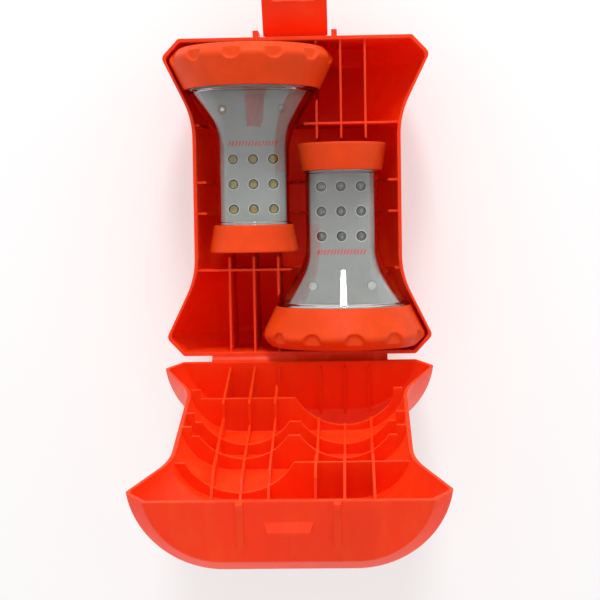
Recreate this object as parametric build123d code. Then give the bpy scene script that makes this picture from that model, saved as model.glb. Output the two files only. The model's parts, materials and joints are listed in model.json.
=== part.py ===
"""Hinged carrying case with two bell-shaped LED safety flares nested head to tail inside it.

Millimetres. The origin is the centre of the front foot's face, on the surface the case lies on, and
+Z is up. The latch is at the front, towards -Y, and the lid's hinge at the back, towards +Y. The case
is drawn about its own middle and moved to the origin when it is written. The lid is drawn closed and
then turned open about the hinge. Each flare is drawn once in its own frame and placed twice: its axis
is +Y from the foot's end face, and the white lamps face +Z.
"""

import os
from math import radians, tan

from build123d import *

# Case, both halves
HALF_LENGTH = 95.4
FLARE_X = 27.0
WALL = 2.1
END_CHAMFER = (10.4, 11.0)
SLOPE_DEG = 26.0
WAIST_FILLET = 50.0
WIDE_FILLET = 4.0
END_FILLET = 2.0
FOOT_BAR = (52.0, 7.0, 3.2)
FOOT_BAR_Y = 81.0

# Base: half circles of the outer radius about each flare's axis, then straight walls to the rim
BASE_WIDE_R = 53.4
BASE_WAIST_R = 35.5
AXIS_Z = 53.4
RIM_Z = 65.0

# Lid: flatter arcs, struck from below its rim and further apart
LID_CENTRE_X = 32.6
LID_CENTRE_DROP = 5.4
LID_R_LESS = 5.3

# Ribs
RIB = 1.3
RIB_Y = (9.4, 43.8)
RIB_X_STEP = 14.7
RIB_BELOW_RIM = 3.0
END_RIB = 2.1
CRADLE_WAIST_R = 28.0
CRADLE_BELL_R = 31.6
TAB_WIDTH = 5.0
TAB_PROUD = 2.5
TAB_GAP = 0.6

# Lid hinge, a thin film across the gap at the back
HINGE_Y = 98.0
HINGE_WIDTH = 106.0
HINGE_FILM = 0.8
LID_OPEN_DEG = 105.0

# Latch tongue on the front wall of the base
LATCH_Z = 51.0
LATCH_GAP = 1.5
LATCH_LENGTH = 40.0
LATCH_WIDTH = 39.0
LATCH_THICK = 2.2
LATCH_FILM = 0.7
LATCH_OUT_DEG = 53.0
WINDOW = (26.0, 9.0)
WINDOW_START = 24.7
CATCH = (24.3, 5.8, 3.4)
CATCH_FAR_WIDTH = 18.7
CATCH_ABOVE_RIM = 11.0
GUIDE_X = 23.5
GUIDE_WIDTH = 3.3
GUIDE_PROUD = 3.9

# Flare: radii and distances from the foot's end face
FLARE_LENGTH = 122.3
FOOT_R = 50.3
SCALLOP_FLOOR_R = 47.2
SEAM_S = 24.3
SEAM_BEAD_R = 40.4
BELL_R = 22.3
BELL_WALL = 1.6
BELL_FILLET = 36.4
BELL_END_S = 109.7
CAP_START_S = 105.9
CAP_R = (24.3, 27.0)
SCALLOPS = 12

# How each flare lies: the gap from its foot to the case's end wall, and its roll about its own axis
LIES = {"flare_a": (4.0, -4.6), "flare_b": (2.8, -7.6)}

# Core of a flare
FACE_W = 6.2
PANEL_START_S = 22.3
PANEL_END_S = 107.9
PANEL_HALF = (34.25, 19.4)
PANEL_NECK_S = 49.3
PANEL_SKIN = 1.4
BOARD = 1.6
LED_PITCH = (12.0, 15.1)
LED_MIDDLE_S = 81.3
LED_RECESS_R = 3.1
LED_R = 2.4
SCREW_U = 18.0
SCREW_S = 35.8

# Battery compartment
TRAY_R = 40.2
TRAY_S = (3.2, 19.9)
CELL_R = 7.1
CELL_LENGTH = 49.0
CELL_PITCH = 15.2
CELL_S = 10.3
COVER_SCREW_R = 34.5

# Button
BUTTON_R = 7.0
BUTTON_FLANGE = (9.0, 1.6)
BUTTON_FLANGE_S = 116.9
BUTTON_TRAVEL = 1.2


def block(x, y, z):
    """Box between two limits along each axis."""
    size = [high - low for low, high in (x, y, z)]
    middle = [(high + low) / 2 for low, high in (x, y, z)]
    return Pos(*middle) * Box(*size)


def rod(radius, low, high, u=0.0, s=0.0):
    """Cylinder along Z between two heights."""
    return Pos(u, s, (low + high) / 2) * Cylinder(radius, high - low)


def outline(points):
    """Face inside straight runs through (x, y, corner radius) points."""
    places = [(x, y) for x, y, _ in points]
    radii = [radius for _, _, radius in points]
    return make_face(FilletPolyline(*places, radius=radii, close=True))


def turned(points):
    """Solid turned about the Y axis from a profile of (radius, distance, corner radius) points."""
    return revolve(outline(points), Axis.Y)


def ring(inner, outer, start, end):
    """Plain ring about the Y axis."""
    return turned([(inner, start, 0), (outer, start, 0), (outer, end, 0), (inner, end, 0)])


# Case


def hourglass(widest, waist, inset=0.0):
    """Outline of the case's length: wide near both ends, narrow in the middle, chamfered corners."""
    inner_corner = inset * 0.4
    wide_y = HALF_LENGTH - END_CHAMFER[1] - inner_corner
    end_x = widest - END_CHAMFER[0] - inner_corner
    end_y = HALF_LENGTH - inset
    waist_y = wide_y - (widest - waist) / tan(radians(SLOPE_DEG))
    wide_x = widest - inset
    waist_x = waist - inset
    quarter = [(end_x, end_y, END_FILLET), (wide_x, wide_y, WIDE_FILLET), (waist_x, waist_y, WAIST_FILLET)]
    right = quarter + [(x, -y, radius) for x, y, radius in reversed(quarter)]
    left = [(-x, y, radius) for x, y, radius in reversed(right)]
    return outline(right + left)


def trough(widest, waist, inset, centre_x, centre_z, upward):
    """Half of a solid turned about two parallel axes and filled in between them, below or above."""
    flat = hourglass(widest, waist, inset)
    half = flat & Pos(widest, 0, 0) * Rectangle(2 * widest, 3 * HALF_LENGTH)
    lobe = revolve(half, Axis.Y, 90)
    top = Plane((-centre_x, 0, centre_z), x_dir=(0, 0, upward), z_dir=(1, 0, 0))
    middle = extrude(top * half, 2 * centre_x)
    right_turn, left_turn = (-90, -180) if upward > 0 else (0, 90)
    right = Pos(centre_x, 0, centre_z) * Rot(0, right_turn, 0) * lobe
    left = Pos(-centre_x, 0, centre_z) * Rot(0, left_turn, 0) * lobe
    return right + middle + left


def base_form(inset, top):
    """Outer form of the base, or its cavity when inset by the wall."""
    round_part = trough(BASE_WIDE_R, BASE_WAIST_R, inset, FLARE_X, AXIS_Z, -1)
    plan = hourglass(FLARE_X + BASE_WIDE_R, FLARE_X + BASE_WAIST_R, inset)
    return round_part + extrude(Pos(0, 0, AXIS_Z) * plan, top - AXIS_Z)


def lid_form(inset):
    """Outer form of the closed lid, or its cavity when inset by the wall."""
    widest = BASE_WIDE_R - LID_R_LESS
    waist = BASE_WAIST_R - LID_R_LESS
    form = trough(widest, waist, inset, LID_CENTRE_X, RIM_Z - LID_CENTRE_DROP, 1)
    return form & block((-120, 120), (-120, 120), (RIM_Z, 150))


def flare_room(start):
    """Space that the ribs leave for one flare, round its axis, in the flare's frame."""
    foot = FOOT_R + 1.5
    return [
        (0, start, 0),
        (foot, start, 0),
        (foot, 12, 0),
        (43.0, SEAM_S + 1.5, 0),
        (CRADLE_BELL_R, SEAM_S + 20.0, 0),
        (CRADLE_BELL_R, SEAM_S + 25.0, 0),
        (CRADLE_WAIST_R, SEAM_S + 32.0, 0),
        (CRADLE_WAIST_R, FLARE_LENGTH + 3.0, 0),
        (0, FLARE_LENGTH + 3.0, 0),
    ]


def flare_places():
    """Where the flares lie: the first with its foot at the latch end, the second turned over."""
    wall_y = HALF_LENGTH - WALL
    gap_a, roll_a = LIES["flare_a"]
    gap_b, roll_b = LIES["flare_b"]
    return {
        "flare_a": Pos(FLARE_X, gap_a - wall_y, AXIS_Z) * Rot(0, roll_a, 0),
        "flare_b": Pos(-FLARE_X, wall_y - gap_b, AXIS_Z) * Rot(180, roll_b, 0),
    }


def rib_slabs(z_low, z_high):
    """Crossing ribs before they are trimmed to the case."""
    slabs = []
    for y in RIB_Y:
        for side in (-1, 1):
            slabs.append(block((-100, 100), (side * y - RIB / 2, side * y + RIB / 2), (z_low, z_high)))
    for side in (-1, 1):
        for step in (-1, 0, 1):
            x = side * (FLARE_X + step * RIB_X_STEP)
            slabs.append(block((x - RIB / 2, x + RIB / 2), (-100, 100), (z_low, z_high)))
    return slabs


def ribs(cavity, z_low, z_high, openings):
    """Ribs that fill the cavity between two heights, clear of the flares and of any other openings."""
    crossing = rib_slabs(z_low, z_high)
    joined = crossing[0].fuse(*crossing[1:])
    trimmed = cavity & joined
    return trimmed - openings


def flare_rooms(lifted):
    """Both flares' rooms: carried on upward in the base, where the flares lift out, and longer at the
    front of the lid, where its ribs swing past a foot."""
    rooms = []
    for name, place in flare_places().items():
        gap = LIES[name][0]
        swings_past = name == "flare_a" and not lifted
        profile = flare_room(-2 * gap if swings_past else END_RIB - gap)
        rooms.append(place * turned(profile))
        if lifted:
            plan = outline(profile)
            plan += mirror(plan, Plane.YZ)
            rooms.append(extrude(place * plan, 60, dir=(0, 0, 1)))
    return rooms


def guide(side, z_low, z_high, proud):
    """Upright rib beside the latch on a front wall."""
    x = side * GUIDE_X
    front = -HALF_LENGTH
    half = GUIDE_WIDTH / 2
    return block((x - half, x + half), (front - proud, front + 0.5), (z_low, z_high))


def tab_span(side):
    """X limits of a locating tab, just inside the base's wall."""
    outer = FLARE_X + BASE_WAIST_R - WALL - TAB_GAP
    ends = (side * outer, side * (outer - TAB_WIDTH))
    return min(ends), max(ends)


def case_base():
    """Deep half of the case with its ribs, guide pegs and feet."""
    cavity = base_form(WALL, RIM_Z + 5)
    form = base_form(0, RIM_Z)
    width, length, height = FOOT_BAR
    for side in (-1, 1):
        middle = side * FOOT_BAR_Y
        form += block((-width / 2, width / 2), (middle - length / 2, middle + length / 2), (0, height))
    body = form - cavity + ribs(cavity, 0, RIM_Z - RIB_BELOW_RIM, flare_rooms(True))
    for side in (-1, 1):
        body += guide(side, RIM_Z - 22, RIM_Z, GUIDE_PROUD)
    return body


def catch():
    """Ledge on the lid's front wall that the latch's window snaps over, narrower at its far side."""
    width, height, proud = CATCH
    low = RIM_Z + CATCH_ABOVE_RIM
    high = low + height
    front = -HALF_LENGTH
    wedge = outline([
        (front + 0.5, low, 0),
        (front, low, 0),
        (front - proud, high - 1.8, 0.4),
        (front - proud, high, 0.4),
        (front + 0.5, high, 0),
    ])
    near, far = width / 2, CATCH_FAR_WIDTH / 2
    seen_from_front = outline([(-near, low, 0), (near, low, 0), (far, high, 1.0), (-far, high, 1.0)])
    side_view = Plane.YZ.offset(-near) * wedge
    front_view = Plane.XZ.offset(-front - 1) * seen_from_front
    return extrude(side_view, width) & extrude(front_view, proud + 2)


def lid_closed():
    """Shallow half of the case with its ribs, tabs, guides and catch, drawn closed on the base."""
    cavity = lid_form(WALL)
    body = lid_form(0) - cavity + ribs(cavity, RIM_Z + RIB_BELOW_RIM, 130, flare_rooms(False))
    for y in (RIB_Y[1], RIB_Y[0], -RIB_Y[0]):
        for side in (-1, 1):
            body += block(tab_span(side), (y - RIB / 2, y + RIB / 2), (RIM_Z - TAB_PROUD, RIM_Z + 9))
    for side in (-1, 1):
        body += guide(side, RIM_Z, RIM_Z + 24, GUIDE_PROUD - 1.9)
        body += guide(side, RIM_Z, RIM_Z + 3, GUIDE_PROUD)
    return body + catch()


def hinge_place():
    """Turn that opens the lid about the hinge axis."""
    there = Pos(0, HINGE_Y, RIM_Z)
    back = Pos(0, -HINGE_Y, -RIM_Z)
    return there * Rot(-LID_OPEN_DEG, 0, 0) * back


def lid_hinge_film():
    """Film between the two rims, bent at the hinge axis, as it lies with the lid open."""
    half = HINGE_WIDTH / 2
    strip = block((-half, half), (HALF_LENGTH, HINGE_Y), (RIM_Z - HINGE_FILM, RIM_Z))
    lid_strip = hinge_place() * block((-half, half), (HALF_LENGTH, HINGE_Y), (RIM_Z, RIM_Z + HINGE_FILM))
    fold = Pos(0, HINGE_Y, RIM_Z) * Rot(0, 90, 0) * Cylinder(HINGE_FILM, 2 * half)
    return strip + lid_strip + fold


# Latch


def latch_place():
    """Turn that swings the closed tongue out from the front wall."""
    axis_y = -HALF_LENGTH - LATCH_GAP
    return Pos(0, axis_y, LATCH_Z) * Rot(LATCH_OUT_DEG, 0, 0) * Pos(0, -axis_y, -LATCH_Z)


def latch_tongue():
    """Tongue with a window and raised side edges, swung out."""
    inner_y = -HALF_LENGTH - 0.6
    outer_y = inner_y - LATCH_THICK
    half = LATCH_WIDTH / 2
    low = LATCH_Z + 1.0
    top = LATCH_Z + LATCH_LENGTH
    body = block((-half, half), (outer_y, inner_y), (low, top))
    corners = body.edges().filter_by(Axis.Y).group_by(Axis.Z)[-1]
    body = fillet(corners, 5.0)
    for side in (-1, 1):
        inner = side * (half - 2.2)
        span = (min(side * half, inner), max(side * half, inner))
        body += block(span, (outer_y - 1.0, outer_y), (low, top - 6))
    body += block((-half + 6, half - 6), (outer_y - 1.4, outer_y), (top - 3.4, top - 1.4))
    window_half = WINDOW[0] / 2
    window_low = LATCH_Z + WINDOW_START
    window_z = (window_low, window_low + WINDOW[1])
    body -= block((-window_half, window_half), (outer_y - 3, inner_y + 1), window_z)
    return latch_place() * body


def latch_film():
    """Film between the front wall and the tongue's root."""
    half = LATCH_WIDTH / 2 - 1.0
    axis_y = -HALF_LENGTH - LATCH_GAP
    step = LATCH_FILM / 2
    wall_strip = block((-half, half), (axis_y, -HALF_LENGTH), (LATCH_Z - step, LATCH_Z + step))
    root = block((-half, half), (axis_y - step, axis_y + step), (LATCH_Z, LATCH_Z + 1.0))
    return wall_strip + latch_place() * root


# Flare


def foot_boot():
    """Rubber boot of the foot, with U-shaped scallops round its end rim."""
    boot = turned([
        (44.2, 0, 2.0),
        (FOOT_R, 6.2, 3.5),
        (41.3, SEAM_S, 0.5),
        (40.15, SEAM_S, 0),
        (40.15, SEAM_S - 3.2, 0),
        (45.2, 9.4, 1.5),
        (45.2, 8.0, 1.0),
        (43.4, 3.4, 0),
        (41.3, 3.4, 0),
        (41.3, 0, 0),
    ])
    cutter = outline([(-5.6, -3, 0), (5.6, -3, 0), (5.6, 9.6, 5.4), (-5.6, 9.6, 5.4)])
    scallop = Pos(0, 0, SCALLOP_FLOOR_R) * extrude(cutter, 12)
    for index in range(SCALLOPS):
        boot -= Rot(0, index * 360 / SCALLOPS + 15, 0) * scallop
    return boot


def lens_bell():
    """Clear bell over the core, with its flange, seam bead and collar bead."""
    cone = 0.604
    outer_at_seam = 38.8
    inner_at_seam = outer_at_seam - BELL_WALL * 1.17
    bead_s = SEAM_S + 1.8
    neck_outer = bead_s + (outer_at_seam - BELL_R) / cone
    neck_r = BELL_R - BELL_WALL
    neck_inner = bead_s + (inner_at_seam - neck_r) / cone
    return turned([
        (40.0, SEAM_S - 3.0, 0),
        (40.0, SEAM_S + 0.1, 0),
        (SEAM_BEAD_R, SEAM_S + 0.1, 0),
        (SEAM_BEAD_R, bead_s - 0.5, 0),
        (outer_at_seam, bead_s, 0),
        (BELL_R, neck_outer, BELL_FILLET),
        (BELL_R, CAP_START_S - 1.8, 0),
        (BELL_R + 0.9, CAP_START_S - 1.5, 0),
        (BELL_R + 0.9, CAP_START_S - 0.2, 0),
        (BELL_R, CAP_START_S, 0),
        (BELL_R, BELL_END_S, 0),
        (neck_r, BELL_END_S, 0),
        (neck_r, neck_inner, BELL_FILLET + BELL_WALL),
        (inner_at_seam, bead_s, 0),
        (36.4, SEAM_S, 0),
        (36.4, SEAM_S - 3.0, 0),
    ])


def end_cap():
    """Cap on the narrow end, a cone that opens outward, with a lip and a hole for the button."""
    return turned([
        (22.5, CAP_START_S, 0),
        (CAP_R[0], CAP_START_S, 0.6),
        (CAP_R[1], FLARE_LENGTH - 1.4, 0.4),
        (CAP_R[1], FLARE_LENGTH, 0.5),
        (25.2, FLARE_LENGTH, 0.5),
        (24.8, FLARE_LENGTH - 1.6, 0),
        (BUTTON_R + 0.3, FLARE_LENGTH - 1.6, 0),
        (BUTTON_R + 0.3, FLARE_LENGTH - 3.6, 0),
        (22.5, FLARE_LENGTH - 3.6, 0),
    ])


def panel_outline(inset, start, end):
    """Outline of the core: straight beside the lamps, then widening towards the foot."""
    slope = (PANEL_HALF[0] - PANEL_HALF[1]) / (PANEL_NECK_S - PANEL_START_S)
    foot = PANEL_HALF[0] - inset + slope * (PANEL_START_S - start)
    neck = PANEL_HALF[1] - inset
    right = [(foot, start, 1.5), (neck, PANEL_NECK_S, 36.0), (neck, end, 1.0)]
    left = [(-u, s, radius) for u, s, radius in reversed(right)]
    return outline(right + left)


def lamp_grid():
    """Centres of the nine lamps on a face."""
    steps = (-1, 0, 1)
    pitch_u, pitch_s = LED_PITCH
    return [(column * pitch_u, LED_MIDDLE_S + row * pitch_s) for row in steps for column in steps]


def panel(white):
    """One half of the core: a flat face with lamp cups, a skirt round it and two screw bosses."""
    low = BOARD / 2 + 0.05
    under = FACE_W - PANEL_SKIN
    blank = extrude(Pos(0, 0, low) * panel_outline(0, PANEL_START_S, PANEL_END_S), FACE_W - low)
    rim = blank.faces().sort_by(Axis.Z)[-1].edges()
    blank = fillet(rim, 1.2)
    hollow = panel_outline(PANEL_SKIN, PANEL_START_S + PANEL_SKIN, PANEL_END_S - PANEL_SKIN)
    body = blank - extrude(Pos(0, 0, low) * hollow, under - low)
    for u, s in lamp_grid():
        body += rod(LED_RECESS_R + 0.8, under - 1.6, under + 0.2, u, s)
    for side in (-1, 1):
        body += rod(3.4, low, under + 0.2, side * SCREW_U, SCREW_S)
    for u, s in lamp_grid():
        body -= rod(LED_RECESS_R, 0, FACE_W + 1, u, s)
    for side in (-1, 1):
        depth = 0.5 if white else 1.5
        body -= rod(1.25, 0, FACE_W + 1, side * SCREW_U, SCREW_S)
        body -= rod(2.9, FACE_W - depth, FACE_W + 1, side * SCREW_U, SCREW_S)
    return body if white else mirror(body, Plane.XY)


def lamps():
    """Nine straw-hat lamps standing on the white side of the board."""
    seat = BOARD / 2
    profile = outline([
        (0, seat, 0),
        (LED_R + 0.4, seat, 0),
        (LED_R + 0.4, seat + 0.9, 0),
        (LED_R, seat + 0.9, 0),
        (LED_R, seat + 4.9, 1.5),
        (0, seat + 4.9, 0),
    ])
    upright = Plane.XZ * profile
    lamp = revolve(upright, Axis.Z)
    return [Pos(u, s, 0) * lamp for u, s in lamp_grid()]


def circuit_board():
    """Board between the two panels, drilled for the panel screws."""
    flat = extrude(Pos(0, 0, -BOARD / 2) * panel_outline(1.0, PANEL_START_S + 1, PANEL_END_S - 1), BOARD)
    for side in (-1, 1):
        flat -= rod(1.6, -5, 5, side * SCREW_U, SCREW_S)
    return flat


def board_parts():
    """Driver chip, coil and resistors on the white side of the board."""
    seat = BOARD / 2
    parts = [
        block((-2.6, 2.6), (45, 49), (seat, seat + 1.5)),
        block((-10, -5), (44, 49), (seat, seat + 2.4)),
    ]
    for index in range(6):
        u = -7.5 + index * 3.0
        parts.append(block((u - 0.8, u + 0.8), (53, 54), (seat, seat + 0.5)))
    for u in (6.5, 11.5):
        parts.append(rod(1.9, seat, seat + 3.0, u, 46.5))
    return parts


def panel_screws():
    """Two screws with heads in the red panel's recesses and threads in the white panel's bosses."""
    screws = []
    for side in (-1, 1):
        u = side * SCREW_U
        head = rod(2.6, -FACE_W + 0.1, -FACE_W + 1.5, u, SCREW_S)
        head -= block((u - 2, u + 2), (SCREW_S - 0.35, SCREW_S + 0.35), (-FACE_W, -FACE_W + 0.8))
        head -= block((u - 0.35, u + 0.35), (SCREW_S - 2, SCREW_S + 2), (-FACE_W, -FACE_W + 0.8))
        screws.append(head + rod(1.2, -FACE_W + 1.4, FACE_W - 1.6, u, SCREW_S))
    return screws


def end_plate():
    """Round plate that closes the core and carries the switch."""
    return ring(0, BELL_R - BELL_WALL - 0.2, PANEL_END_S + 0.3, BELL_END_S + 0.2)


def switch():
    """Push switch on the end plate, with its plunger."""
    seat = BELL_END_S + 0.2
    top = seat + 4.6
    body = block((-6, 6), (seat, top), (-6, 6))
    return body + ring(0, 2.5, top - 0.1, BUTTON_FLANGE_S - BUTTON_TRAVEL - 0.1)


def push_button():
    """Button in the cap's end, with a flange behind the hole."""
    flange_r, flange_thick = BUTTON_FLANGE
    flange_top = BUTTON_FLANGE_S + flange_thick
    return turned([
        (0, BUTTON_FLANGE_S, 0),
        (flange_r, BUTTON_FLANGE_S, 0),
        (flange_r, flange_top, 0),
        (BUTTON_R, flange_top, 0),
        (BUTTON_R, FLARE_LENGTH - 0.9, 1.0),
        (0, FLARE_LENGTH - 0.9, 0),
    ])


def quarter_turns(shape):
    """Four copies of a shape round the flare's axis."""
    return [Rot(0, index * 90, 0) * shape for index in range(4)]


def battery_tray():
    """Round tray with a pocket for three cells, open towards the foot's end."""
    start, end = TRAY_S
    wall = 1.6
    pocket = (CELL_LENGTH + 4.4, 3 * CELL_PITCH + 1.6)
    half_u, half_w = pocket[0] / 2, pocket[1] / 2
    tray = ring(0, TRAY_R, start, end) - ring(0, TRAY_R - wall, start - 1, end - 2.4)
    walls = block((-half_u - wall, half_u + wall), (start, end - 2), (-half_w - wall, half_w + wall))
    for boss in quarter_turns(Pos(0, 0, COVER_SCREW_R) * Rot(90, 0, 0) * Cylinder(3.2, end - start - 1)):
        walls += Pos(0, (start + end - 1) / 2, 0) * boss
    tray += walls
    tray -= block((-half_u, half_u), (start - 1, end - 2.4), (-half_w, half_w))
    for hole in quarter_turns(Pos(0, 0, COVER_SCREW_R) * Rot(90, 0, 0) * Cylinder(1.3, 20)):
        tray -= Pos(0, start, 0) * hole
    return tray


def battery_cells():
    """Three cells side by side across the foot, ends alternating."""
    cells = []
    for index in (-1, 0, 1):
        end = -1 if index == 0 else 1
        body = Cylinder(CELL_R, CELL_LENGTH - 1.2)
        nub = Pos(0, 0, CELL_LENGTH / 2 - 0.7) * Cylinder(2.7, 1.4)
        cells.append(Pos(0, CELL_S, index * CELL_PITCH) * Rot(0, end * 90, 0) * (body + nub))
    return cells


def battery_contacts():
    """Plate and spring cone or stud at each end of each cell."""
    contacts = []
    wall_u = CELL_LENGTH / 2 + 2.2
    for index in (-1, 0, 1):
        for side in (-1, 1):
            plate_u = side * (wall_u - 0.3)
            w = index * CELL_PITCH
            plate = Pos(plate_u, CELL_S, w) * Box(0.5, 11, 11)
            tip = CELL_LENGTH / 2 + (0.15 if side * (-1 if index == 0 else 1) > 0 else -0.45)
            length = wall_u - 0.4 - tip
            post = Pos(side * (tip + length / 2), CELL_S, w) * Rot(0, side * 90, 0)
            contacts.append(plate + post * Cone(3.2, 2.0, length))
    return contacts


def seal_ring():
    """Round-section seal between the bell's flange and the tray."""
    return Pos(0, SEAM_S - 3.7, 0) * Rot(90, 0, 0) * Torus(38.2, 0.65)


def bottom_cover():
    """Cover over the cells, recessed for its screws, with a round groove."""
    cover = turned([(0, 0.6, 0), (41.0, 0.6, 0.5), (41.0, 3.1, 0), (0, 3.1, 0)])
    cover -= ring(26, 28, 0, 1.2)
    for hole in quarter_turns(Pos(0, 0, COVER_SCREW_R) * Rot(90, 0, 0) * Cylinder(3.0, 3.2)):
        cover -= hole
    for hole in quarter_turns(Pos(0, 0, COVER_SCREW_R) * Rot(90, 0, 0) * Cylinder(1.6, 20)):
        cover -= hole
    return cover


def cover_screws():
    """Four screws through the bottom cover into the tray."""
    head = Pos(0, 1.15, COVER_SCREW_R) * Rot(90, 0, 0) * Cylinder(2.7, 0.8)
    head -= Pos(0, 0.9, COVER_SCREW_R) * Box(4, 0.6, 0.7)
    shank = Pos(0, 6.4, COVER_SCREW_R) * Rot(90, 0, 0) * Cylinder(1.25, 9.8)
    return quarter_turns(head + shank)


def flare_parts():
    """Every piece of a flare, in the flare's frame."""
    white = lamps()
    return {
        "foot_boot": foot_boot(),
        "lens_bell": lens_bell(),
        "end_cap": end_cap(),
        "panel_white": panel(True),
        "panel_red": panel(False),
        "white_leds": white,
        "red_leds": [mirror(lamp, Plane.XY) for lamp in white],
        "circuit_board": circuit_board(),
        "board_parts": board_parts(),
        "panel_screws": panel_screws(),
        "end_plate": end_plate(),
        "switch": switch(),
        "push_button": push_button(),
        "battery_tray": battery_tray(),
        "battery_cells": battery_cells(),
        "battery_contacts": battery_contacts(),
        "seal_ring": seal_ring(),
        "bottom_cover": bottom_cover(),
        "cover_screws": cover_screws(),
    }


def write(shape, node):
    """One STEP file for a node, moved to the origin; a list becomes a group of separate solids."""
    if isinstance(shape, list):
        shape = Compound(children=shape)
    export_step(Pos(0, FOOT_BAR_Y, 0) * shape, f"parts/{node}.step")


def main():
    os.makedirs("parts", exist_ok=True)
    write(case_base(), "case_base")
    write(hinge_place() * lid_closed(), "case_lid")
    write(lid_hinge_film(), "lid_hinge_film")
    write(latch_tongue(), "latch_tongue")
    write(latch_film(), "latch_film")
    pieces = flare_parts()
    for name, place in flare_places().items():
        for piece, shape in pieces.items():
            placed = [place * solid for solid in shape] if isinstance(shape, list) else place * shape
            write(placed, f"{name}_{piece}")


main()
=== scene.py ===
import json
from math import atan2, cos, hypot, pi, radians, sin, tan

import bmesh
import bpy
from mathutils import Euler, Matrix, Vector


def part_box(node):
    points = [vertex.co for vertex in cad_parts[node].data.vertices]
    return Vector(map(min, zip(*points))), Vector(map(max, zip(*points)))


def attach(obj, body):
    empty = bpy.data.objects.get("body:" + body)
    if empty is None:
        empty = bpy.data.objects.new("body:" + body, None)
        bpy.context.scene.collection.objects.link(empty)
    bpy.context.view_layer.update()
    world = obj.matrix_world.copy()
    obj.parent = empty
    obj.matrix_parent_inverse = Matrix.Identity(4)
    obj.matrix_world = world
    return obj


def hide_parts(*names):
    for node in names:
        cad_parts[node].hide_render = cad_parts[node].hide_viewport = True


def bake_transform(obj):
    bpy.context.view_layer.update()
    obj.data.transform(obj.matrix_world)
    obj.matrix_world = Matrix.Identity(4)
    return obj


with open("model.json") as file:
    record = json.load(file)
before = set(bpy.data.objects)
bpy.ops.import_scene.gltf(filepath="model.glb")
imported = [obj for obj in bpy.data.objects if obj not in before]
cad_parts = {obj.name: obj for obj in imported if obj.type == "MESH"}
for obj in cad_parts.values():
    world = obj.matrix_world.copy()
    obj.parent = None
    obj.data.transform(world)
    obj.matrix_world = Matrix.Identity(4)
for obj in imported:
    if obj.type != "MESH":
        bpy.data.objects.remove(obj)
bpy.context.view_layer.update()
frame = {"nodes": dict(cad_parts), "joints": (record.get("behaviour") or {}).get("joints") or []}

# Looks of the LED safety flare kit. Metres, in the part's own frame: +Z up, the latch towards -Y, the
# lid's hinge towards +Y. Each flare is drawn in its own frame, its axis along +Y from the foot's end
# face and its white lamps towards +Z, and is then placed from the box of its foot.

MM = 0.001
FLARES = ("flare_a", "flare_b")


# Mesh helpers


def piece(name, mesh, body, materials, sharp_deg=32.0):
    """New visible object that rides on a body."""
    obj = bpy.data.objects.new(name, mesh)
    bpy.context.scene.collection.objects.link(obj)
    for material in materials:
        mesh.materials.append(material)
    mesh.shade_smooth()
    mesh.set_sharp_from_angle(angle=radians(sharp_deg))
    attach(obj, body)
    return obj


def to_mesh(name, grown, place=None):
    """Mesh from a bmesh, welded, with its normals outward and moved to its place."""
    bmesh.ops.remove_doubles(grown, verts=grown.verts, dist=0.002 * MM)
    bmesh.ops.recalc_face_normals(grown, faces=grown.faces)
    if place is not None:
        bmesh.ops.transform(grown, matrix=place, verts=grown.verts)
    mesh = bpy.data.meshes.new(name)
    grown.to_mesh(mesh)
    grown.free()
    return mesh


def rounded(corners, steps=5):
    """Closed outline from (x, y, corner radius) points in millimetres, its corners turned into arcs."""
    outline = []
    count = len(corners)
    for index, (x, y, radius) in enumerate(corners):
        corner = Vector((x, y))
        if radius <= 0:
            outline.append(corner * MM)
            continue
        back = Vector(corners[index - 1][:2]) - corner
        ahead = Vector(corners[(index + 1) % count][:2]) - corner
        half = back.angle(ahead) / 2
        reach = min(radius / tan(half), 0.49 * back.length, 0.49 * ahead.length)
        arc_radius = reach * tan(half)
        middle = (back.normalized() + ahead.normalized()).normalized()
        centre = corner + middle * (arc_radius / sin(half))
        first = corner + back.normalized() * reach - centre
        last = corner + ahead.normalized() * reach - centre
        start = atan2(first.y, first.x)
        turn = (atan2(last.y, last.x) - start + pi) % (2 * pi) - pi
        arc_steps = max(steps, int(radius * abs(turn) / 1.2))
        for step in range(arc_steps + 1):
            angle = start + turn * step / arc_steps
            outline.append((centre + Vector((cos(angle), sin(angle))) * arc_radius) * MM)
    return outline


def lathe(outline, segments=144, shape=None):
    """bmesh of a closed (radius, distance) outline turned about Y.

    shape(radius, s, angle), where given, moves each point.
    """
    grown = bmesh.new()
    rings = []
    for index in range(segments):
        angle = 2 * pi * index / segments
        loop = []
        for radius, s in outline:
            if shape is not None:
                radius, s = shape(radius, s, angle)
            loop.append(grown.verts.new((radius * sin(angle), s, radius * cos(angle))))
        rings.append(loop)
    count = len(outline)
    for index, loop in enumerate(rings):
        following = rings[(index + 1) % segments]
        for at in range(count):
            after = (at + 1) % count
            if max(outline[at][0], outline[after][0]) < 1e-6:
                continue
            grown.faces.new((loop[at], loop[after], following[after], following[at]))
    return grown


def smooth_step(value, low, high):
    """0 below low, 1 above high, and a smooth ramp between."""
    t = min(max((value - low) / (high - low), 0.0), 1.0)
    return t * t * (3 - 2 * t)


# Material helpers


def new_material(name):
    """Node material with one Principled shader: (material, tree, shader)."""
    material = bpy.data.materials.new(name)
    material.use_nodes = True
    tree = material.node_tree
    return material, tree, tree.nodes["Principled BSDF"]


def node(tree, kind, inputs=None, **settings):
    """New shader node; an input is a value or another node's output."""
    made = tree.nodes.new("ShaderNode" + kind)
    for key, value in settings.items():
        setattr(made, key, value)
    for key, value in (inputs or {}).items():
        if isinstance(value, bpy.types.NodeSocket):
            tree.links.new(value, made.inputs[key])
        else:
            made.inputs[key].default_value = value
    return made


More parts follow.
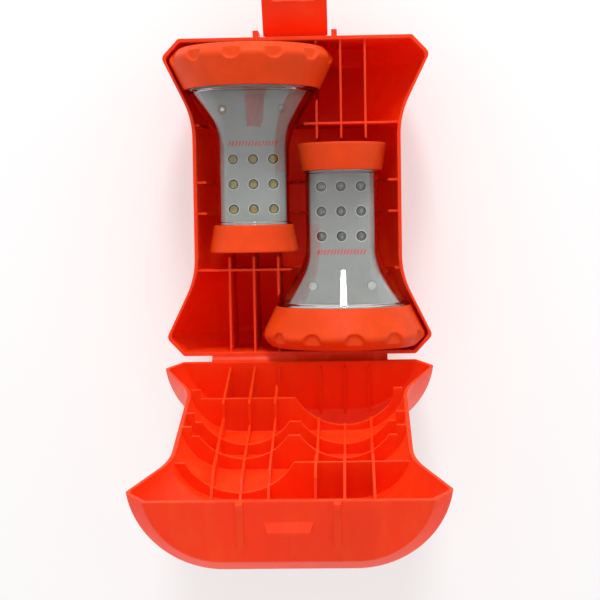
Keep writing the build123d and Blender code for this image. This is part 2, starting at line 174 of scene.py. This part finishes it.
def grain(tree, scale, detail=3.0, stretch=(1, 1, 1), rough=0.55):
    """Noise in the piece's own frame, with scale in features per metre."""
    where = node(tree, "TexCoord").outputs["Object"]
    spread = node(tree, "Mapping", {"Vector": where, "Scale": stretch}).outputs["Vector"]
    settings = {"Vector": spread, "Scale": scale, "Detail": detail, "Roughness": rough}
    return node(tree, "TexNoise", settings).outputs["Fac"]


def between(tree, value, low, high, to_low=0.0, to_high=1.0):
    """Value from one range to another, clamped, with a smooth ramp."""
    settings = {"Value": value, "From Min": low, "From Max": high, "To Min": to_low, "To Max": to_high}
    return node(tree, "MapRange", settings, interpolation_type="SMOOTHSTEP").outputs["Result"]


def mixed(tree, factor, first, second):
    """Colour between two colours; each is a value or an output."""
    made = node(tree, "Mix", data_type="RGBA")
    for index, value in ((0, factor), (6, first), (7, second)):
        socket = made.inputs[index]
        if isinstance(value, bpy.types.NodeSocket):
            tree.links.new(value, socket)
        else:
            socket.default_value = value
    return made.outputs[2]


def math(tree, operation, first, second=0.0):
    """Result of a Math node."""
    made = node(tree, "Math", operation=operation)
    for index, value in ((0, first), (1, second)):
        if isinstance(value, bpy.types.NodeSocket):
            tree.links.new(value, made.inputs[index])
        else:
            made.inputs[index].default_value = value
    return made.outputs[0]


def bumped(tree, height, distance, strength=1.0, normal=None):
    """Normal from a height, with distance in metres."""
    inputs = {"Height": height, "Distance": distance, "Strength": strength}
    if normal is not None:
        inputs["Normal"] = normal
    return node(tree, "Bump", inputs).outputs["Normal"]


def soft_edges_and_highlight(tree, radius):
    """(rounded normal, mask that is 1 along edges, used to paint a highlight along them)."""
    soft = node(tree, "Bevel", {"Radius": radius}, samples=4).outputs["Normal"]
    flat = node(tree, "NewGeometry").outputs["Normal"]
    dot = node(tree, "VectorMath", operation="DOT_PRODUCT")
    tree.links.new(soft, dot.inputs[0])
    tree.links.new(flat, dot.inputs[1])
    return soft, between(tree, dot.outputs["Value"], 0.99, 0.80)


def plastic(name, colour, rim_colour, roughness, edge=0.0004, translucent=0.0):
    """Moulded plastic: cloudy colour, flow streaks, fine texture, faint scuffs, and a painted highlight that
    lightens its edges.
    """
    material, tree, shader = new_material(name)
    soft, rim = soft_edges_and_highlight(tree, edge)
    cloud = between(tree, grain(tree, 38, 4), 0.35, 0.65)
    streaks = between(tree, grain(tree, 120, 2, (1, 0.08, 1)), 0.45, 0.75, 0.0, 0.35)
    dark = tuple(value * 0.94 for value in colour[:3]) + (1,)
    base = mixed(tree, cloud, dark, colour)
    base = mixed(tree, streaks, base, rim_colour)
    # Painted highlight: edges lightened towards the rim colour.
    base = mixed(tree, math(tree, "MULTIPLY", rim, 0.55), base, rim_colour)
    tree.links.new(base, shader.inputs["Base Color"])
    fine = grain(tree, 3800, 2)
    waves = grain(tree, 90, 2)
    scuffs = between(tree, grain(tree, 260, 5, (1, 0.12, 0.5), 0.7), 0.62, 0.70)
    rough = math(tree, "ADD", between(tree, fine, 0.3, 0.7, roughness - 0.05, roughness + 0.05),
                 math(tree, "MULTIPLY", scuffs, 0.12))
    tree.links.new(rough, shader.inputs["Roughness"])
    normal = bumped(tree, waves, 0.00035, 0.6, soft)
    normal = bumped(tree, fine, 0.00003, 0.8, normal)
    tree.links.new(normal, shader.inputs["Normal"])
    shader.inputs["Specular IOR Level"].default_value = 0.22
    if translucent:
        shader.inputs["Subsurface Weight"].default_value = translucent
        shader.inputs["Subsurface Radius"].default_value = (1.0, 0.12, 0.03)
        shader.inputs["Subsurface Scale"].default_value = 0.006
    return material


def soft_rubber(name, colour, rim_colour):
    """Soft-touch rubber: matt, finely pebbled, with a painted highlight that lightens its edges."""
    material, tree, shader = new_material(name)
    soft, rim = soft_edges_and_highlight(tree, 0.0005)
    cloud = between(tree, grain(tree, 55, 3), 0.35, 0.7)
    dark = tuple(value * 0.88 for value in colour[:3]) + (1,)
    base = mixed(tree, cloud, dark, colour)
    # Painted highlight: edges lightened towards the rim colour.
    base = mixed(tree, math(tree, "MULTIPLY", rim, 0.6), base, rim_colour)
    tree.links.new(base, shader.inputs["Base Color"])
    where = node(tree, "TexCoord").outputs["Object"]
    cells = node(tree, "TexVoronoi", {"Vector": where, "Scale": 1900.0}, feature="SMOOTH_F1")
    pebble = cells.outputs["Distance"]
    rough = between(tree, grain(tree, 400, 3), 0.3, 0.7, 0.46, 0.6)
    tree.links.new(rough, shader.inputs["Roughness"])
    normal = bumped(tree, pebble, 0.00006, 0.5, soft)
    normal = bumped(tree, grain(tree, 140, 2), 0.0002, 0.5, normal)
    tree.links.new(normal, shader.inputs["Normal"])
    shader.inputs["Specular IOR Level"].default_value = 0.18
    return material


def clear_plastic(name, tint, roughness=0.02, ior=1.56):
    """Polished clear plastic with faint moulding waves; lamps shine through it."""
    material, tree, shader = new_material(name)
    shader.inputs["Base Color"].default_value = tint
    shader.inputs["IOR"].default_value = ior
    shader.inputs["Transmission Weight"].default_value = 1.0
    smudge = between(tree, grain(tree, 70, 4), 0.5, 0.75, roughness, roughness + 0.05)
    tree.links.new(smudge, shader.inputs["Roughness"])
    normal = bumped(tree, grain(tree, 45, 1), 0.00025, 0.35)
    tree.links.new(normal, shader.inputs["Normal"])
    return material


def silver_paint(name, colour):
    """Silver-grey paint with fine metal flake on moulded plastic."""
    material, tree, shader = new_material(name)
    soft, rim = soft_edges_and_highlight(tree, 0.0006)
    where = node(tree, "TexCoord").outputs["Object"]
    flakes = node(tree, "TexVoronoi", {"Vector": where, "Scale": 4200.0}).outputs["Color"]
    sparkle = node(tree, "SeparateColor", {"Color": flakes}).outputs["Red"]
    cloud = between(tree, grain(tree, 60, 3), 0.35, 0.65)
    dark = tuple(value * 0.90 for value in colour[:3]) + (1,)
    light = tuple(min(value * 1.22, 1) for value in colour[:3]) + (1,)
    base = mixed(tree, cloud, dark, colour)
    base = mixed(tree, between(tree, sparkle, 0.75, 1.0, 0, 0.5), base, light)
    # Painted highlight: edges lightened towards the lighter silver.
    base = mixed(tree, math(tree, "MULTIPLY", rim, 0.7), base, light)
    tree.links.new(base, shader.inputs["Base Color"])
    tree.links.new(between(tree, sparkle, 0, 1, 0.34, 0.5), shader.inputs["Roughness"])
    shader.inputs["Metallic"].default_value = 0.35
    normal = bumped(tree, sparkle, 0.000015, 0.5, soft)
    normal = bumped(tree, grain(tree, 110, 2), 0.0002, 0.4, normal)
    tree.links.new(normal, shader.inputs["Normal"])
    return material


def bright_metal(name, colour, turned_marks=2600.0, roughness=0.2):
    """Plated metal with fine marks and small colour changes."""
    material, tree, shader = new_material(name)
    soft, rim = soft_edges_and_highlight(tree, 0.0001)
    stains = between(tree, grain(tree, 900, 3), 0.35, 0.7)
    dark = tuple(value * 0.82 for value in colour[:3]) + (1,)
    tree.links.new(mixed(tree, stains, dark, colour), shader.inputs["Base Color"])
    shader.inputs["Metallic"].default_value = 1.0
    marks = grain(tree, turned_marks, 2)
    tree.links.new(between(tree, marks, 0.3, 0.7, roughness, roughness + 0.15), shader.inputs["Roughness"])
    tree.links.new(bumped(tree, marks, 0.00001, 0.6, soft), shader.inputs["Normal"])
    return material


# The second colour of the case plastic and the rubber is the painted highlight along their edges; in the
# plastic it also colours the flow streaks.
CASE_COLOUR = (0.98, 0.046, 0.003, 1)
CASE_RIM = (1.0, 0.085, 0.010, 1)
case_plastic = plastic("case_plastic_look", CASE_COLOUR, CASE_RIM, 0.40, translucent=0.7)
safety_rubber = soft_rubber("safety_rubber_look", (0.84, 0.062, 0.004, 1), (0.98, 0.11, 0.02, 1))
clear_cover = clear_plastic("clear_cover_look", (0.97, 0.985, 0.98, 1))
silver_panel = silver_paint("silver_panel_look", (0.36, 0.375, 0.36, 1))
bright_screw = bright_metal("bright_screw_look", (0.78, 0.78, 0.80, 1))


# Lamps


def phosphor(name, colour):
    """Grainy phosphor gel over a lamp's chip."""
    material, tree, shader = new_material(name)
    spots = between(tree, grain(tree, 2600, 4), 0.35, 0.65)
    dark = tuple(value * 0.55 for value in colour[:3]) + (1,)
    tree.links.new(mixed(tree, spots, dark, colour), shader.inputs["Base Color"])
    shader.inputs["Roughness"].default_value = 0.55
    tree.links.new(bumped(tree, grain(tree, 3200, 3), 0.00008, 0.7), shader.inputs["Normal"])
    return material


def printed_ink(name, colour):
    """Thin pad-printed ink with a slightly uneven edge of colour."""
    material, tree, shader = new_material(name)
    patchy = between(tree, grain(tree, 1500, 4), 0.3, 0.7)
    light = tuple(min(value * 1.5, 1) for value in colour[:3]) + (1,)
    tree.links.new(mixed(tree, patchy, colour, light), shader.inputs["Base Color"])
    tree.links.new(between(tree, patchy, 0, 1, 0.35, 0.55), shader.inputs["Roughness"])
    return material


def circuit_laminate(name):
    """Green solder mask over copper tracks."""
    material, tree, shader = new_material(name)
    where = node(tree, "TexCoord").outputs["Object"]
    tracks = node(tree, "TexBrick", {"Vector": where, "Scale": 160.0, "Mortar Size": 0.03}).outputs["Fac"]
    weave = between(tree, grain(tree, 1800, 2), 0.3, 0.7)
    mask = mixed(tree, weave, (0.012, 0.09, 0.035, 1), (0.02, 0.12, 0.05, 1))
    tree.links.new(mixed(tree, tracks, mask, (0.05, 0.22, 0.10, 1)), shader.inputs["Base Color"])
    tree.links.new(bumped(tree, tracks, 0.00003, 0.6), shader.inputs["Normal"])
    tree.links.new(between(tree, weave, 0, 1, 0.25, 0.4), shader.inputs["Roughness"])
    return material


def cell_wrap(name):
    """Shrink wrap of a cell: dark band and light band along its length, no lettering."""
    material, tree, shader = new_material(name)
    where = node(tree, "TexCoord").outputs["Object"]
    across = node(tree, "SeparateXYZ", {"Vector": where}).outputs["X"]
    wave = math(tree, "SINE", math(tree, "MULTIPLY", across, 260.0))
    band = between(tree, wave, 0.55, 0.6)
    base = mixed(tree, band, (0.02, 0.03, 0.05, 1), (0.55, 0.42, 0.10, 1))
    scuffs = between(tree, grain(tree, 500, 3), 0.6, 0.7, 0, 0.2)
    tree.links.new(mixed(tree, scuffs, base, (0.5, 0.5, 0.5, 1)), shader.inputs["Base Color"])
    tree.links.new(between(tree, grain(tree, 300, 2), 0.3, 0.7, 0.2, 0.35), shader.inputs["Roughness"])
    shader.inputs["Coat Weight"].default_value = 0.3
    return material


# Pieces of a flare, in its own frame. Sizes in millimetres.

FOOT_R = 50.3
FOOT_SHOULDER_S = 6.2
SEAM_S = 24.3
SEAM_R = 41.3
SCALLOPS = 12
SCALLOP_HALF = 5.6
SCALLOP_END_S = 9.6
SCALLOP_CORNER = 5.4
SCALLOP_FLOOR_R = 47.2
SCALLOP_EDGE = 0.7
BELL_R = 22.3
BELL_WALL = 1.6
BELL_FILLET = 36.4
BELL_AT_SEAM_R = 38.8
BELL_CONE = 0.604
BELL_END_S = 109.7
CAP_START_S = 105.9
CAP_R = (24.3, 27.0)
FLARE_LENGTH = 122.3
BUTTON_HOLE_R = 7.3
FACE_W = 6.2
LED_PITCH = (12.0, 15.1)
LED_MIDDLE_S = 81.3
LED_R = 2.4
LED_RECESS_R = 3.1
BOARD_HALF = 0.8
MARK_S = 56.6
MARK_BARS = 15
ROLLS = {"flare_a": radians(-4.6), "flare_b": radians(-7.6)}
SCREW_AT = (18.0, 35.8)


def flare_place(name):
    """Matrix from a flare's own frame to the part's frame."""
    low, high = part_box(name + "_foot_boot")
    middle = (low + high) / 2
    rolled = Matrix.Rotation(ROLLS[name], 4, "Y")
    if name == "flare_a":
        return Matrix.Translation((middle.x, low.y, middle.z)) @ rolled
    return Matrix.Translation((middle.x, high.y, middle.z)) @ Matrix.Rotation(pi, 4, "X") @ rolled


def dense(outline, longest):
    """The same closed outline with its long runs split."""
    points = []
    for index, point in enumerate(outline):
        following = outline[(index + 1) % len(outline)]
        parts = max(1, int((following - point).length / (longest * MM)))
        points += [point.lerp(following, part / parts) for part in range(parts)]
    return points


def scalloped(radius, s, angle):
    """Foot's outer skin pressed in to flat U-shaped scallops, with rolled edges."""
    step = 2 * pi / SCALLOPS
    offset = (angle % step) - step / 2
    across = abs(radius * sin(offset)) / MM
    beyond_side = across - (SCALLOP_HALF - SCALLOP_CORNER)
    beyond_end = s / MM - (SCALLOP_END_S - SCALLOP_CORNER)
    if beyond_side > 0 and beyond_end > 0:
        outside = hypot(beyond_side, beyond_end) - SCALLOP_CORNER
    else:
        outside = max(beyond_side, beyond_end) - SCALLOP_CORNER
    floor = SCALLOP_FLOOR_R * MM / cos(offset)
    press = max(0.0, radius - floor) * (1 - smooth_step(outside, -SCALLOP_EDGE, SCALLOP_EDGE))
    return radius - press, s


def foot_boot(name, place):
    outline = rounded([
        (44.2, 0, 2.0), (FOOT_R, FOOT_SHOULDER_S, 3.5), (SEAM_R, SEAM_S, 0.8), (40.15, SEAM_S, 0),
        (40.15, SEAM_S - 3.2, 0), (45.2, 9.4, 1.5), (45.2, 8.0, 1.0), (43.4, 3.4, 0), (41.3, 3.4, 0),
        (41.3, 0, 0.4),
    ], steps=6)
    grown = lathe(dense(outline, 0.8), segments=480, shape=scalloped)
    boot = piece(name + "_boot", to_mesh("boot", grown, place), name, [safety_rubber], 40)
    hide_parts(name + "_foot_boot")


def lens_bell(name, place):
    bead_s = SEAM_S + 1.8
    inner_at_seam = BELL_AT_SEAM_R - BELL_WALL * 1.17
    neck_r = BELL_R - BELL_WALL
    neck_outer = bead_s + (BELL_AT_SEAM_R - BELL_R) / BELL_CONE
    neck_inner = bead_s + (inner_at_seam - neck_r) / BELL_CONE
    outline = rounded([
        (40.0, SEAM_S - 3.0, 0.3), (40.0, SEAM_S + 0.1, 0), (40.4, SEAM_S + 0.1, 0.3),
        (40.4, bead_s - 0.5, 0.5), (BELL_AT_SEAM_R, bead_s, 0.4), (BELL_R, neck_outer, BELL_FILLET),
        (BELL_R, CAP_START_S - 1.8, 0.3),
        (BELL_R + 0.9, CAP_START_S - 1.5, 0.3), (BELL_R + 0.9, CAP_START_S - 0.2, 0.2),
        (BELL_R, CAP_START_S, 0), (BELL_R, BELL_END_S, 0.2), (neck_r, BELL_END_S, 0.2),
        (neck_r, neck_inner, BELL_FILLET + BELL_WALL), (inner_at_seam, bead_s, 0.8),
        (36.4, SEAM_S, 0.4), (36.4, SEAM_S - 3.0, 0.2),
    ], steps=4)
    grown = lathe(dense(outline, 6.0), segments=192)
    bell = piece(name + "_bell", to_mesh("bell", grown, place), name, [clear_cover], 40)
    bell.visible_shadow = False
    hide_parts(name + "_lens_bell")


def end_cap(name, place):
    face = FLARE_LENGTH - 1.6
    outline = rounded([
        (22.5, CAP_START_S, 0.2), (CAP_R[0], CAP_START_S, 0.7), (CAP_R[1], FLARE_LENGTH - 1.4, 0.5),
        (CAP_R[1], FLARE_LENGTH, 0.6), (25.2, FLARE_LENGTH, 0.5), (24.8, face, 0.5),
        (BUTTON_HOLE_R, face, 0.6), (BUTTON_HOLE_R, face - 2, 0.3), (22.5, face - 2, 0),
    ], steps=6)
    grown = lathe(dense(outline, 3.0), segments=192)
    cap = piece(name + "_cap", to_mesh("cap", grown, place), name, [safety_rubber], 40)
    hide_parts(name + "_end_cap")


def upright(outline, segments):
    """bmesh of an outline turned about the line out of a face, as a lamp stands."""
    grown = lathe(outline, segments)
    bmesh.ops.rotate(grown, matrix=Matrix.Rotation(pi / 2, 3, "X"), verts=grown.verts)
    return grown


def copies(single, places):
    """bmesh with one copy of a bmesh at each place."""
    pattern = bpy.data.meshes.new("pattern")
    single.to_mesh(pattern)
    single.free()
    grown = bmesh.new()
    for place in places:
        start = len(grown.verts)
        grown.from_mesh(pattern)
        grown.verts.ensure_lookup_table()
        bmesh.ops.transform(grown, matrix=place, verts=grown.verts[start:])
    bpy.data.meshes.remove(pattern)
    return grown


def lamp_places(white):
    """Where a face's nine lamps stand, in the flare's frame."""
    face = Matrix.Identity(4) if white else Matrix.Rotation(pi, 4, "Y")
    places = []
    for row in (-1, 0, 1):
        for column in (-1, 0, 1):
            spot = Vector((column * LED_PITCH[0], LED_MIDDLE_S + row * LED_PITCH[1], 0)) * MM
            turn = Matrix.Rotation(0.9 * row + 0.5 * column, 4, "Z")
            places.append(face @ Matrix.Translation(spot) @ turn)
    return places


def bar(grown, x, y, z):
    """Adds a box between limits in millimetres."""
    size = [(high - low) * MM for low, high in (x, y, z)]
    middle = [(high + low) / 2 * MM for low, high in (x, y, z)]
    shape = Matrix.Translation(middle) @ Matrix.Diagonal((*size, 1))
    bmesh.ops.create_cube(grown, size=1, matrix=shape)


def lamps(name, place, white):
    """Nine lamps: clear dome, reflector cup on its leads, and the lit layer in the cup."""
    side = "white" if white else "red"
    low = BOARD_HALF
    places = [place @ spot for spot in lamp_places(white)]
    dome = rounded([
        (0, low, 0), (LED_R + 0.4, low, 0.1), (LED_R + 0.4, low + 0.9, 0.2), (LED_R, low + 0.9, 0.1),
        (LED_R, low + 4.9, 1.9), (0, low + 4.9, 0),
    ], steps=8)
    glass = amber_glass if white else lamp_glass
    lens = piece(f"{name}_{side}_lenses", to_mesh("lenses", copies(upright(dome, 40), places)), name,
                 [glass], 50)
    lens.visible_shadow = False
    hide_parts(f"{name}_{side}_leds")
    cup_r = 2.25 if white else 2.05
    cup = rounded([
        (0, low + 1.0, 0), (1.0, low + 1.0, 0), (cup_r, low + 2.4, 0.1), (cup_r - 0.18, low + 2.45, 0.05),
        (0.8, low + 1.4, 0.05), (0, low + 1.4, 0),
    ], steps=3)
    metal = upright(cup, 28)
    bar(metal, (-1.5, -1.1), (-0.25, 0.25), (low + 0.1, low + 2.9))
    cups = piece(f"{name}_{side}_cups", to_mesh("cups", copies(metal, places)), name,
                 [bright_contact], 30)
    if white:
        lit = upright(rounded([(0, low + 1.4, 0), (0.8, low + 1.42, 0), (cup_r, low + 2.4, 0.1),
                               (1.4, low + 2.7, 0.5), (0, low + 2.8, 0)], steps=4), 28)
        bar(lit, (-0.55, 0.55), (-0.55, 0.55), (low + 2.5, low + 2.85))
        look = yellow_phosphor
    else:
        lit = bmesh.new()
        bar(lit, (-0.35, 0.35), (-0.35, 0.35), (low + 1.4, low + 1.7))
        bar(lit, (-1.3, 0.1), (-0.05, 0.05), (low + 2.1, low + 2.2))
        look = chip_face
    piece(f"{name}_{side}_chips", to_mesh("chips", copies(lit, places)), name, [look], 30)


def recess_rims(name, place, white):
    """Rim round each lamp's recess in a lighter silver, a painted highlight for its lit wall, and a dark ring
    down in the recess, a painted shade for the shadowed wall round the lamp.
    """
    side = "white" if white else "red"
    places = [place @ spot for spot in lamp_places(white)]
    rim = rounded([(LED_RECESS_R - 0.15, FACE_W - 0.35, 0.05), (LED_RECESS_R + 0.20, FACE_W + 0.06, 0.06),
                   (LED_RECESS_R + 0.42, FACE_W + 0.03, 0.05), (LED_RECESS_R + 0.42, FACE_W - 0.2, 0),
                   (LED_RECESS_R, FACE_W - 0.9, 0), (LED_RECESS_R - 0.15, FACE_W - 0.8, 0)], steps=4)
    rims = to_mesh("rims", copies(upright(rim, 48), places))
    # Lighter silver than the panel: painted highlight on the recess wall.
    piece(f"{name}_{side}_rims", rims, name, [painted_lit_rim], 50)
    # Dark ring in the recess: painted shade for the shadowed wall round the lamp, not a part that holds it.
    shade_ring = rounded([(LED_R + 0.05, FACE_W - 1.6, 0.1), (LED_RECESS_R - 0.05, FACE_W - 0.9, 0.15),
                      (LED_RECESS_R - 0.05, FACE_W - 2.4, 0.1), (LED_R + 0.05, FACE_W - 2.4, 0.1)], steps=3)
    shade_rings = to_mesh("shade_rings", copies(upright(shade_ring, 48), places))
    piece(f"{name}_{side}_collars", shade_rings, name, [recess_shade], 50)


def screw_seats(name, place):
    """On the white face, a brass insert in one screw boss and a pale plug in the other."""
    u, s = SCREW_AT
    insert = [
        (1.35, FACE_W - 2.2, 0), (2.8, FACE_W - 2.2, 0), (2.8, FACE_W - 0.15, 0.3), (1.7, FACE_W - 0.15, 0.2),
        (1.35, FACE_W - 0.7, 0.1),
    ]
    plug = [
        (0, FACE_W - 0.5, 0), (2.85, FACE_W - 0.5, 0), (2.85, FACE_W - 0.1, 0.3), (1.9, FACE_W + 0.05, 0.5),
        (1.3, FACE_W - 0.25, 0.3), (0, FACE_W - 0.3, 0),
    ]
    seats = (
        ("insert", u, insert, "bright_screw", brass),
        ("plug", -u, plug, "silver_panel", silver_panel),
    )
    for kind, at, outline, slot, look in seats:
        grown = upright(rounded(outline, steps=4), 48)
        mesh = to_mesh(kind, grown, place @ Matrix.Translation(Vector((at, s, 0)) * MM))
        piece(f"{name}_boss_{kind}", mesh, name, [look], 40)


def printed_mark(name, place, white):
    """Plain row of slanted bars printed beside the lamps."""
    side = "white" if white else "red"
    grown = bmesh.new()
    width, height, pitch, slant = 1.0, 3.0, 1.98, 0.5
    for index in range(MARK_BARS):
        x = (index - (MARK_BARS - 1) / 2) * pitch
        corners = [(-width / 2 - slant, -height / 2), (width / 2 - slant, -height / 2),
                   (width / 2 + slant, height / 2), (-width / 2 + slant, height / 2)]
        rings = []
        for z in (FACE_W - 0.02, FACE_W + 0.04):
            rings.append([grown.verts.new((Vector((x + u, MARK_S + s, z)) * MM)) for u, s in corners])
        grown.faces.new(rings[1])
        grown.faces.new(rings[0][::-1])
        for at in range(4):
            after = (at + 1) % 4
            grown.faces.new((rings[0][at], rings[0][after], rings[1][after], rings[1][at]))
    face = Matrix.Identity(4) if white else Matrix.Rotation(pi, 4, "Y")
    mark = to_mesh("mark", grown, place @ face)
    piece(f"{name}_{side}_mark", mark, name, [red_ink], 30)


# Films drawn bent round the hinges of the lid and the latch


def film(name, node_name, across, path, thickness):
    """Thin strip along a bent path of (y, z) points between two bodies, fixed in the part's frame."""
    grown = bmesh.new()
    columns = 24
    steps = len(path)
    sides = []
    for sign in (-0.5, 0.5):
        rows = []
        for index, point in enumerate(path):
            ahead = path[min(index + 1, steps - 1)] - path[max(index - 1, 0)]
            normal = Vector((-ahead.y, ahead.x)).normalized()
            at = point + normal * thickness * sign
            places = [across * (2 * c / columns - 1) for c in range(columns + 1)]
            rows.append([grown.verts.new((x, at.x, at.y)) for x in places])
        sides.append(rows)
    below, above = sides
    for row in range(steps - 1):
        for c in range(columns):
            for rows in sides:
                grown.faces.new((rows[row][c], rows[row][c + 1], rows[row + 1][c + 1], rows[row + 1][c]))
        for c in (0, columns):
            grown.faces.new((below[row][c], above[row][c], above[row + 1][c], below[row + 1][c]))
    for row in (0, steps - 1):
        for c in range(columns):
            grown.faces.new((below[row][c], below[row][c + 1], above[row][c + 1], above[row][c]))
    mesh = to_mesh(name, grown)
    obj = bpy.data.objects.new(name, mesh)
    bpy.context.scene.collection.objects.link(obj)
    mesh.materials.append(film_look)
    mesh.shade_smooth()
    mesh.set_sharp_from_angle(angle=radians(40))
    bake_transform(obj)
    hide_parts(node_name)


def bend(first, corner, last, steps=12):
    """Points of a smooth bend from one point to another, pulled towards a corner."""
    shares = [t / steps for t in range(steps + 1)]
    return [first.lerp(corner, share).lerp(corner.lerp(last, share), share) for share in shares]


def films():
    joints = {joint["name"]: joint for joint in frame["joints"]}
    hinge = Vector(joints["lid_hinge"]["pos_m"][1:])
    low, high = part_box("lid_hinge_film")
    back_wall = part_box("case_base")[1].y
    gap = hinge.x - back_wall
    open_angle = radians(-joints["lid_hinge"]["range_deg"][0])
    along = Vector((-cos(open_angle), sin(open_angle)))
    into_lid = Vector((sin(open_angle), cos(open_angle)))
    start = Vector((back_wall - 0.1 * MM, hinge.y - 0.4 * MM))
    end = hinge + along * (gap + 0.1 * MM) + into_lid * 0.4 * MM
    film("lid_film", "lid_hinge_film", high.x, bend(start, hinge, end), 0.7 * MM)
    latch = Vector(joints["latch_hinge"]["pos_m"][1:])
    low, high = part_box("latch_film")
    out_angle = radians(-joints["latch_hinge"]["range_deg"][0])
    wall = Vector((high.y + 0.1 * MM, latch.y))
    root = latch + Vector((-sin(out_angle), cos(out_angle))) * 1.15 * MM
    film("tongue_film", "latch_film", high.x, bend(wall, latch, root), 0.6 * MM)


lamp_glass = clear_plastic("lamp_glass_look", (0.86, 0.82, 0.76, 1), 0.03, 1.53)
amber_glass = clear_plastic("amber_glass_look", (0.95, 0.86, 0.18, 1), 0.03, 1.53)
yellow_phosphor = phosphor("yellow_phosphor_look", (0.84, 0.64, 0.01, 1))
chip_face = phosphor("chip_face_look", (0.16, 0.12, 0.09, 1))
# Lighter copy of the panel's silver: the painted highlight of the lamps' recess rims.
painted_lit_rim = silver_paint("painted_lit_rim_look", (0.72, 0.74, 0.72, 1))
# Near-black plastic for the painted shade ring inside each lamp recess.
recess_shade = plastic("recess_shade_look", (0.022, 0.016, 0.009, 1), (0.06, 0.05, 0.03, 1), 0.5, 0.0001)
brass = bright_metal("brass_look", (0.45, 0.27, 0.12, 1), 1800.0, 0.35)
bright_contact = bright_metal("bright_contact_look", (0.72, 0.70, 0.66, 1), 1800.0, 0.28)
red_ink = printed_ink("red_ink_look", (0.60, 0.05, 0.03, 1))
film_look = plastic("film_look", (0.88, 0.035, 0.005, 1), (0.95, 0.16, 0.06, 1), 0.42, 0.0002)
green_board = circuit_laminate("green_board_look")
cell_label = cell_wrap("cell_label_look")
chip_epoxy = plastic("chip_epoxy_look", (0.02, 0.02, 0.022, 1), (0.06, 0.06, 0.06, 1), 0.5, 0.0002)
pale_plastic = plastic("pale_plastic_look", (0.42, 0.43, 0.42, 1), (0.55, 0.56, 0.55, 1), 0.45, 0.0003)
pale_seal = soft_rubber("pale_seal_look", (0.45, 0.46, 0.45, 1), (0.6, 0.6, 0.6, 1))

for flare in FLARES:
    where = flare_place(flare)
    foot_boot(flare, where)
    lens_bell(flare, where)
    end_cap(flare, where)
    for is_white in (True, False):
        lamps(flare, where, is_white)
        recess_rims(flare, where, is_white)
        printed_mark(flare, where, is_white)
    screw_seats(flare, where)
films()

LOOKS = {
    "case_plastic": case_plastic, "film_plastic": film_look, "safety_rubber": safety_rubber,
    "clear_cover": clear_cover, "silver_panel": silver_panel, "bright_screw": bright_screw,
    "white_lamp": lamp_glass, "red_lamp": lamp_glass, "board": green_board, "chip": chip_epoxy,
    "inner_plastic": pale_plastic, "button_rubber": safety_rubber, "cell": cell_label,
    "contact": bright_contact, "seal": pale_seal,
}
for cad in frame["nodes"].values():
    for entry in cad.material_slots:
        entry.material = LOOKS[entry.material.name]




# Camera, lights and floor


def add_camera():
    """Camera almost straight above the open case, turned so that the latch is at the top of the frame."""
    data = bpy.data.cameras.new("camera")
    data.sensor_width = 36.0
    data.lens = 86.8
    data.clip_end = 20.0
    obj = bpy.data.objects.new("camera", data)
    tilt = Euler((0.056, -0.035, 0.014), "XYZ").to_matrix()
    world_to_camera = tilt @ Matrix.Diagonal((-1.0, -1.0, 1.0))
    place = Matrix.Translation(Vector((-31.24, 94.45, 935.53)) * MM)
    obj.matrix_world = place @ world_to_camera.transposed().to_4x4()
    bpy.context.scene.collection.objects.link(obj)
    bpy.context.scene.camera = obj


def area_light(name, place, target, size, power, colour=(1, 1, 1)):
    """Square soft light that faces a point."""
    data = bpy.data.lights.new(name, "AREA")
    data.shape = "RECTANGLE"
    data.size, data.size_y = size
    data.energy = power
    data.color = colour
    obj = bpy.data.objects.new(name, data)
    obj.location = place
    obj.rotation_euler = (Vector(target) - Vector(place)).to_track_quat("-Z", "Y").to_euler()
    bpy.context.scene.collection.objects.link(obj)


def light_and_floor():
    scene = bpy.context.scene
    scene.view_settings.view_transform = "Standard"
    world = bpy.data.worlds.new("studio")
    scene.world = world
    world.use_nodes = True
    world.node_tree.nodes["Background"].inputs["Color"].default_value = (1.0, 1.0, 1.0, 1)
    world.node_tree.nodes["Background"].inputs["Strength"].default_value = 0.80
    area_light("key", (-0.03, -1.25, 0.80), (-0.03, 0.10, 0.06), (0.26, 0.50), 13)
    grown = bmesh.new()
    bmesh.ops.create_grid(grown, x_segments=2, y_segments=2, size=6.0)
    mesh = bpy.data.meshes.new("floor")
    grown.to_mesh(mesh)
    grown.free()
    floor = bpy.data.objects.new("floor", mesh)
    scene.collection.objects.link(floor)
    material, tree, shader = new_material("pale_floor")
    tone = mixed(tree, grain(tree, 3.0, 2), (0.60, 0.60, 0.60, 1), (0.62, 0.62, 0.62, 1))
    tree.links.new(tone, shader.inputs["Base Color"])
    shader.inputs["Emission Color"].default_value = (1, 1, 1, 1)
    shader.inputs["Emission Strength"].default_value = 0.36
    shader.inputs["Roughness"].default_value = 0.7
    mesh.materials.append(material)


add_camera()
light_and_floor()
